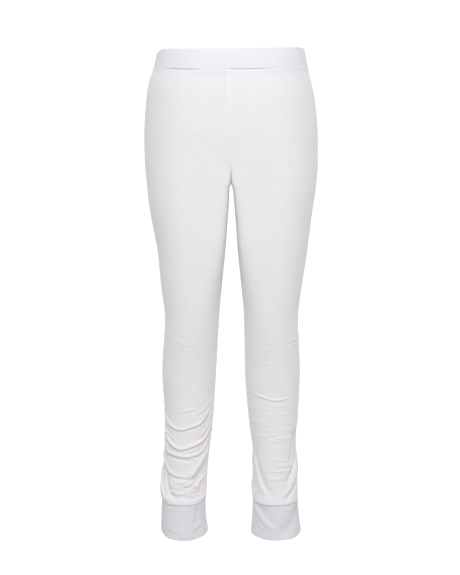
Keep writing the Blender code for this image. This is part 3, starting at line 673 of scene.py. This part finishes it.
def makeLeg(leg, seed):
    g, c, t = garment, legCloth, turnedCloth
    heights = legHeights()
    even = np.linspace(0.0, 1.0, c["columns"] + 1)
    turn, z = np.meshgrid(np.sort(np.concatenate([even, c["seamColumns"]])), heights)
    points, normals = plainLeg(leg, turn, z)

    # folds, fine creases, the ridge along the seams, and both ends
    steps = np.linalg.norm(np.diff(points, axis=1), axis=2)
    fromFront = np.concatenate([np.zeros((len(heights), 1)), np.cumsum(steps, axis=1)], axis=1)
    fromEdge = np.minimum(fromFront, fromFront[:, -1:] - fromFront)
    beside = t["pressed"][leg] * np.exp(-(np.maximum(fromEdge - t["flat"], 0.0) / t["slope"]) ** 2)
    creases = creaseField(inMetres(legCreases[leg]) + fineCreases(leg), turn, z, g["girthAtFolds"])
    none, whole = c["foldsEnd"]
    creases *= fade(z, g["cuffSeam"] + none, g["cuffSeam"] + whole)
    foldOut, foldDrop = hangLastFold(turn, z, seed)
    lift = creases + t["ridge"] * beside + liftUnderBand(leg, turn, z, seed) + foldOut
    points = points + normals * lift[..., None]
    points[..., 2] -= foldDrop

    # cloth turned in behind the waistband, inside the cuff, and along the centre and inner leg seams,
    # where it doubles the jersey and whitens it, most on the centre front
    behind = turnIn(points[0], normals[0], t["behindBand"])
    inside = turnIn(points[-1], normals[-1], t["insideCuff"])
    points = np.concatenate([behind, points, inside])
    addedRows = (len(behind), len(inside))
    normals = np.pad(normals, (addedRows, (0, 0), (0, 0)), "edge")
    first = [points[:, :1] - normals[:, :1] * inward for inward in t["inwards"]]
    last = [points[:, -1:] - normals[:, -1:] * inward for inward in t["inwards"][::-1]]
    sheet = np.concatenate([*first, points, *last], axis=1)
    low, high = t["frontWhite"]
    white = np.where(turn <= 0.5, low + (high - low) * fade(z, *t["frontPlace"]), t["backWhite"]) * beside
    white = np.pad(white, (addedRows, (len(first), len(last))), "edge")
    side = sides[leg]
    piece = sheetObject(leg + "Leg", sheet, clothCoordinates(sheet), side)
    piece.data.attributes.new("doubled", "FLOAT", "POINT").data.foreach_set("value", white.ravel())
    addWall(piece, c["thickness"])

    # the raw edges inside, for their overlock stitches
    kept = slice(len(behind), len(points) - len(inside))
    front = sheet[kept, 0] + normals[kept, 0] * seamThread["sink"]
    back = sheet[kept, -1] + normals[kept, -1] * seamThread["sink"]
    joined = heights > g["crotch"] + seamThread["forkGap"]
    parted = heights < g["crotch"] - seamThread["forkGap"]
    edges = {"front": front[joined], "back": back[joined], "inner": ((front + back) / 2)[parted],
             "waist": sheet[0] - np.array([0.0, 0.0, seamThread["waistSink"]])}
    for path in edges.values():
        path[:, 0] *= side
    return piece, edges


def straightRun(start, end, count, out):
    # part of a ring's profile, (height, how far out), up or down one face
    return [(z, out) for z in np.linspace(start, end, count)]


def roundEdge(z, out, depth, half, lean):
    # part of a ring's profile round an edge, which reaches depth below z
    return [(z - depth * math.sin(a), out + half * math.cos(a)) for a in np.linspace(lean, math.pi - lean, 7)]


cuffCloth = {
    "thickness": 0.0020,
    "columns": 132,
    "rows": 46,
    "hemRound": 0.0010,
    "topRound": 0.0006,
    "ripple": 0.0007,
    "lean": 0.3,             # radians left out at each end of a rounded edge
}


def makeCuff(leg, seed):
    # a doubled ring: down the outer face, round the folded hem, up the inner face, and over the top edge
    g, c = garment, cuffCloth
    top = g["cuffSeam"] - g["seamGap"]
    half = c["thickness"] / 2
    upper, lower = top - c["topRound"], g["cuffHem"] + c["hemRound"]
    profile = straightRun(upper, lower, c["rows"], 0.0)
    profile += roundEdge(lower, -half, c["hemRound"], half, c["lean"])
    profile += straightRun(lower, upper, c["rows"] // 2, -c["thickness"])
    profile += [(top, -half * 1.6), (top, -half * 0.4)]
    turn, step = np.meshgrid(np.arange(c["columns"]) / c["columns"], np.arange(len(profile)))
    z = np.array([p[0] for p in profile])[step]
    out = np.array([p[1] for p in profile])[step]
    ripple = np.sin(2 * np.pi * (turn * 3 + 0.2 * seed)) + 0.7 * np.sin(2 * np.pi * (turn * 7 + 0.35 * seed))
    out = out + creaseField(inMetres(cuffCreases[leg]), turn, z, g["girthAtFolds"])
    out = out + c["ripple"] * ripple * fade(-z, -top, -g["cuffHem"])
    x, y = section(leg, turn, z)
    nx, ny = outward(leg, (turn - 0.002) % 1, (turn + 0.002) % 1, z)
    x, y = x + nx * out, y + ny * out
    return ringObject(leg + "Cuff", np.stack([x, y, leanRows(y, z)], axis=2), sides[leg])


band = {
    "thickness": 0.0024,
    "proud": 0.0011,
    "crown": 0.0005,         # the elastic fills the casing out a little
    "columns": 220,
    "rows": 18,
    "round": 0.0011,
    "lean": 0.25,
}


def makeWaistband():
    g, c = garment, band
    upper, lower = g["bandTop"] - c["round"], g["bandFoot"] + c["round"]
    thick = c["thickness"] / 2
    centre = c["proud"] - thick
    profile = [(upper + (lower - upper) * t, c["proud"] + c["crown"] * math.sin(math.pi * t))
               for t in np.linspace(0.0, 1.0, c["rows"])]
    profile += roundEdge(lower, centre, c["round"], thick, c["lean"])
    profile += straightRun(lower, upper, c["rows"] // 2, c["proud"] - c["thickness"])
    profile += roundEdge(upper, centre, -c["round"], -thick, c["lean"])
    half = c["columns"] // 2
    parts = []
    for leg, side, turns in (("left", 1, np.arange(half) / half), ("right", -1, 1 - np.arange(half) / half)):
        turn, z = np.meshgrid(turns, [p[0] for p in profile])
        out = np.repeat(np.array([p[1] for p in profile])[:, None], half, axis=1)
        x, y = section(leg, turn, z)
        nx, ny = outward(leg, np.clip(turn - 0.003, 0, 1), np.clip(turn + 0.003, 0, 1), z)
        onCentre = (turn == 0.0) | (turn == 1.0)
        nx = np.where(onCentre, 0.0, nx)
        ny = np.where(onCentre, np.sign(y), ny)
        x, y = side * (x + nx * out), y + ny * out
        parts.append(np.stack([x, y, hangWaist(x, y, z)], axis=2))
    return ringObject("elasticBand", np.concatenate(parts, axis=1), 1)


def fill(tree, node, values):
    # sets a node's sockets, and links those whose value is another node's output, or a node, by its first
    for name, value in values.items():
        if isinstance(value, bpy.types.Node):
            value = value.outputs[0]
        if isinstance(value, bpy.types.NodeSocket):
            tree.links.new(value, node.inputs[name])
        else:
            node.inputs[name].default_value = value
    return node


def addNode(tree, kind, values=(), **settings):
    # a new node with its settings, such as its mode, and its sockets' values
    node = tree.nodes.new(kind)
    for name, value in settings.items():
        setattr(node, name, value)
    return fill(tree, node, dict(values))


def addSocket(tree, name, kind, way="INPUT"):
    return tree.interface.new_socket(name=name, in_out=way, socket_type="NodeSocket" + kind)


def newMaterial(name):
    material = bpy.data.materials.new(name)
    material.use_nodes = True
    return material, material.node_tree, material.node_tree.nodes["Principled BSDF"]


def knitGroup():
    # rows of small V stitches from cloth coordinates in metres
    group = bpy.data.node_groups.new("knitStitches", "ShaderNodeTree")
    addSocket(group, "Cloth", "Vector")
    for name in ("Wale", "Course", "Unevenness"):
        addSocket(group, name, "Float")
    for name in ("Height", "Lint"):
        addSocket(group, name, "Float", "OUTPUT")
    inputs = group.nodes.new("NodeGroupInput").outputs
    outputs = group.nodes.new("NodeGroupOutput")

    def work(operation, *values):
        return addNode(group, "ShaderNodeMath", enumerate(values), operation=operation)

    split = addNode(group, "ShaderNodeSeparateXYZ", {0: inputs["Cloth"]})
    wale = work("DIVIDE", split.outputs["X"], inputs["Wale"])
    course = work("DIVIDE", split.outputs["Y"], inputs["Course"])
    fromMiddle = work("ABSOLUTE", work("SUBTRACT", work("FRACT", wale), 0.5))
    arm = work("SINE", work("MULTIPLY", fromMiddle, 2 * math.pi))
    slanted = work("ADD", course, fromMiddle)
    loop = work("ABSOLUTE", work("SINE", work("MULTIPLY", slanted, math.pi)))
    stitch = work("MULTIPLY", arm, work("ADD", work("MULTIPLY", loop, 0.6), 0.4))
    close = addNode(group, "ShaderNodeTexNoise", {"Vector": inputs["Cloth"], "Scale": 420.0, "Detail": 3.0})
    uneven = work("MULTIPLY", work("SUBTRACT", close, 0.5), inputs["Unevenness"])
    broad = addNode(group, "ShaderNodeTexNoise", {
        "Vector": inputs["Cloth"], "Scale": 38.0, "Detail": 5.0, "Roughness": 0.6})
    fill(group, outputs, {"Height": work("ADD", stitch, uneven), "Lint": broad})
    return group


def clothMaterial(name, look):
    # matt knitted cotton: stitches as bump, a little unevenness in its white
    material, tree, surface = newMaterial(name)
    coordinates = addNode(tree, "ShaderNodeUVMap", uv_map="cloth")
    knit = addNode(tree, "ShaderNodeGroup", {
        "Cloth": coordinates, "Wale": look["wale"], "Course": look["course"],
        "Unevenness": look["unevenness"]}, node_tree=stitches)
    bump = addNode(tree, "ShaderNodeBump", {
        "Strength": look["bump"], "Distance": 0.00012, "Height": knit.outputs["Height"]})
    spread = addNode(tree, "ShaderNodeMapRange", {
        "From Min": 0.3, "From Max": 0.6, "Value": knit.outputs["Lint"]})
    tone = addNode(tree, "ShaderNodeMix", {
        "A": (*look["shade"], 1), "B": (*look["colour"], 1), "Factor": spread}, data_type="RGBA")
    layers = addNode(tree, "ShaderNodeAttribute", attribute_name="doubled")
    whiter = addNode(tree, "ShaderNodeMix", {
        "A": tone.outputs["Result"], "B": (*looks["doubledWhite"], 1), "Factor": layers.outputs["Fac"]},
        data_type="RGBA")
    fill(tree, surface, {
        "Base Color": whiter.outputs["Result"], "Normal": bump,
        "Roughness": look["roughness"], "Specular IOR Level": look["specular"],
        "Sheen Weight": look["sheen"], "Sheen Roughness": 0.45})
    return material


jersey = {"roughness": 0.9, "specular": 0.25, "wale": 0.0011, "course": 0.0009, "unevenness": 0.35}
looks = {
    "doubledWhite": (0.95, 0.945, 0.96),
    "legJersey": {
        "colour": (0.876, 0.850, 0.874), "shade": (0.860, 0.834, 0.859), "sheen": 0.20, "bump": 0.35,
        **jersey},
    # the cuffs' colour and shade are painted darker than the legs' jersey: painted shade for the light
    # falling off towards the hems
    "cuffJerseyPaintedShade": {
        "colour": (0.785, 0.765, 0.805), "shade": (0.765, 0.745, 0.787), "sheen": 0.06, "bump": 0.4,
        **jersey},
    "bandCasing": {
        "colour": (0.850, 0.850, 0.908), "shade": (0.837, 0.838, 0.897), "roughness": 0.75, "sheen": 0.06,
        "specular": 0.35, "wale": 0.0010, "course": 0.0008, "unevenness": 0.25, "bump": 0.25},
}

seamThread = {
    "pitch": 0.0030,
    "loop": 0.0021,
    "waistLoop": 0.0014,
    "thread": 0.00026,       # its radius
    "slant": 0.45,           # radians that each loop leans along the edge
    "sink": 0.0016,
    "waistSink": 0.0010,
    "forkGap": 0.004,
    "sides": 4,
    "turns": 10,
    "colour": (0.90, 0.89, 0.915),
}


def threadMaterial():
    # twisted thread, a little smoother than the cloth
    material, tree, surface = newMaterial("seamThread")
    place = addNode(tree, "ShaderNodeTexCoord")
    twist = addNode(tree, "ShaderNodeTexWave", {
        "Vector": place.outputs["Object"], "Scale": 900.0, "Distortion": 1.5}, bands_direction="DIAGONAL")
    bump = addNode(tree, "ShaderNodeBump", {
        "Strength": 0.4, "Distance": 0.00006, "Height": twist.outputs["Fac"]})
    fill(tree, surface, {
        "Base Color": (*seamThread["colour"], 1), "Roughness": 0.6, "Sheen Weight": 0.15, "Normal": bump})
    return material


def overlockTree(material):
    # slanted loops round an edge, and one thread that runs along it
    tree = bpy.data.node_groups.new("overlock", "GeometryNodeTree")
    addSocket(tree, "Path", "Geometry")
    for name in ("Pitch", "Loop", "Thread", "Slant"):
        addSocket(tree, name, "Float")
    for name in ("Turns", "Sides"):
        addSocket(tree, name, "Int")
    addSocket(tree, "Stitches", "Geometry", "OUTPUT")
    inputs = tree.nodes.new("NodeGroupInput").outputs
    outputs = tree.nodes.new("NodeGroupOutput")
    line = addNode(tree, "GeometryNodeMeshToCurve", {"Mesh": inputs["Path"]})
    even = addNode(tree, "GeometryNodeResampleCurve", {
        "Curve": line, "Length": inputs["Pitch"]}, mode="LENGTH")
    ring = addNode(tree, "GeometryNodeCurvePrimitiveCircle", {
        "Resolution": inputs["Turns"], "Radius": inputs["Loop"]})
    strand = addNode(tree, "GeometryNodeCurvePrimitiveCircle", {
        "Resolution": inputs["Sides"], "Radius": inputs["Thread"]})
    loop = addNode(tree, "GeometryNodeCurveToMesh", {"Curve": ring, "Profile Curve": strand})
    lean = addNode(tree, "ShaderNodeCombineXYZ", {"X": inputs["Slant"]})
    leaning = addNode(tree, "GeometryNodeTransform", {"Geometry": loop, "Rotation": lean})
    along = addNode(tree, "GeometryNodeInputTangent")
    turned = addNode(tree, "FunctionNodeAlignRotationToVector", {"Vector": along}, axis="Z")
    placed = addNode(tree, "GeometryNodeInstanceOnPoints", {
        "Points": even, "Instance": leaning, "Rotation": turned})
    runner = addNode(tree, "GeometryNodeCurveToMesh", {"Curve": even, "Profile Curve": strand})
    joined = addNode(tree, "GeometryNodeJoinGeometry", {"Geometry": placed})
    fill(tree, joined, {"Geometry": runner})
    real = addNode(tree, "GeometryNodeRealizeInstances", {"Geometry": joined})
    coloured = addNode(tree, "GeometryNodeSetMaterial", {"Geometry": real, "Material": material})
    fill(tree, outputs, {"Stitches": coloured})
    return tree


def makeStitches(name, paths, loop, tree):
    # runs the tree on the paths and keeps the result as a plain mesh
    points, lines = [], []
    for path in paths:
        start = len(points)
        points.extend(path.tolist())
        lines.extend((i, i + 1) for i in range(start, len(points) - 1))
    mesh = bpy.data.meshes.new(name + "Path")
    mesh.from_pydata(points, lines, [])
    guide = addObject(name + "Path", mesh)
    sew = guide.modifiers.new("overlock", "NODES")
    sew.node_group = tree
    values = {**seamThread, "loop": loop}
    for socket in tree.interface.items_tree:
        if socket.in_out == "INPUT" and socket.name.lower() in values:
            sew[socket.identifier] = values[socket.name.lower()]
    sewn = guide.evaluated_get(bpy.context.evaluated_depsgraph_get())
    piece = addObject(name, bpy.data.meshes.new_from_object(sewn))
    piece.data.name = name
    piece.data.shade_smooth()
    bpy.data.objects.remove(guide)
    bpy.data.meshes.remove(mesh)
    return piece


print("stage: cloth materials")
stitches = knitGroup()
materials = {name: clothMaterial(name, looks[name]) for name in ("legJersey", "cuffJerseyPaintedShade", "bandCasing")}

print("stage: legs")
legs = {}
for leg, seed in (("right", 3), ("left", 8)):
    legs[leg] = makeLeg(leg, seed)
print("stage: cuffs and waistband")
cuffs = {leg: makeCuff(leg, seed) for leg, seed in (("right", 2), ("left", 5))}
waistband = makeWaistband()


def register(piece, node, material):
    piece.data.materials.append(materials[material])
    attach(piece, "root")
    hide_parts(node)


for leg in ("right", "left"):
    register(legs[leg][0], leg + "_leg", "legJersey")
    register(cuffs[leg], leg + "_cuff", "cuffJerseyPaintedShade")
register(waistband, "waistband", "bandCasing")

print("stage: stitches inside")
tree = overlockTree(threadMaterial())
seamPaths = [legs["left"][1]["front"] * (0.0, 1.0, 1.0), legs["left"][1]["back"] * (0.0, 1.0, 1.0),
             legs["right"][1]["inner"], legs["left"][1]["inner"]]
waistPaths = [legs[leg][1]["waist"] for leg in ("right", "left")]
for stitched in (makeStitches("seamStitches", seamPaths, seamThread["loop"], tree),
                 makeStitches("waistStitches", waistPaths, seamThread["waistLoop"], tree)):
    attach(stitched, "root")
    print(stitched.name, len(stitched.data.polygons), "faces")

studio = {
    "floorHeight": -1.60,
    "floorRadius": 2.0,
    "floorTone": 0.68,
    "backdrop": 1.12,        # the wall behind the garment, lit to plain white
    "backdropEdge": -0.10,   # how far round it reaches, by the sideways turn of the line of sight
    "backdropFull": 0.80,
    "room": 0.485,           # the rest of the room
    "keyPlace": (0.12, -3.3, 2.20),
    "keyAim": (0.0, 0.0, -0.70),
    "keySize": 1.9,
    "keyPower": 100.5,
    "cameraPlace": (-0.002, -4.6, 0.025),
    "cameraTilt": 6.0,
    "cameraLens": 144.8,
}


def makeFloor():
    s = studio
    steps = 96
    turns = [2 * math.pi * i / steps for i in range(steps)]
    radius = s["floorRadius"]
    ring = [(radius * math.cos(turn), radius * math.sin(turn), s["floorHeight"]) for turn in turns]
    mesh = bpy.data.meshes.new("studioFloor")
    mesh.from_pydata(ring, [], [list(range(steps))])
    floor = addObject("studioFloor", mesh)
    paint, tree, surface = newMaterial("paleFloor")
    fill(tree, surface, {
        "Base Color": (s["floorTone"], s["floorTone"], s["floorTone"], 1), "Roughness": 0.9})
    mesh.materials.append(paint)


def makeWorld():
    # white behind the garment, a softer room all round
    s = studio
    world = bpy.data.worlds.new("studioAir")
    bpy.context.scene.world = world
    world.use_nodes = True
    tree = world.node_tree
    direction = addNode(tree, "ShaderNodeTexCoord")
    split = addNode(tree, "ShaderNodeSeparateXYZ", {0: direction.outputs["Generated"]})
    behind = addNode(tree, "ShaderNodeMapRange", {
        "Value": split.outputs["Y"], "From Min": s["backdropEdge"], "From Max": s["backdropFull"],
        "To Min": s["room"], "To Max": s["backdrop"]}, interpolation_type="SMOOTHSTEP")
    fill(tree, tree.nodes["Background"], {"Color": (1.0, 1.0, 1.0, 1), "Strength": behind})


def makeKey():
    s = studio
    light = bpy.data.lights.new("softKey", "AREA")
    light.size = s["keySize"]
    light.energy = s["keyPower"]
    key = addObject("softKey", light)
    key.location = s["keyPlace"]
    toward = Vector(s["keyAim"]) - Vector(s["keyPlace"])
    key.rotation_euler = toward.to_track_quat("-Z", "Y").to_euler()


def makeCamera():
    s = studio
    camera = addObject("camera", bpy.data.cameras.new("camera"))
    camera.location = s["cameraPlace"]
    camera.rotation_euler = (math.radians(90 - s["cameraTilt"]), 0.0, 0.0)
    camera.data.lens = s["cameraLens"]
    camera.data.sensor_width = 36.0
    bpy.context.scene.camera = camera
    bpy.context.scene.view_settings.view_transform = "Standard"


print("stage: studio")
makeFloor()
makeWorld()
makeKey()
makeCamera()
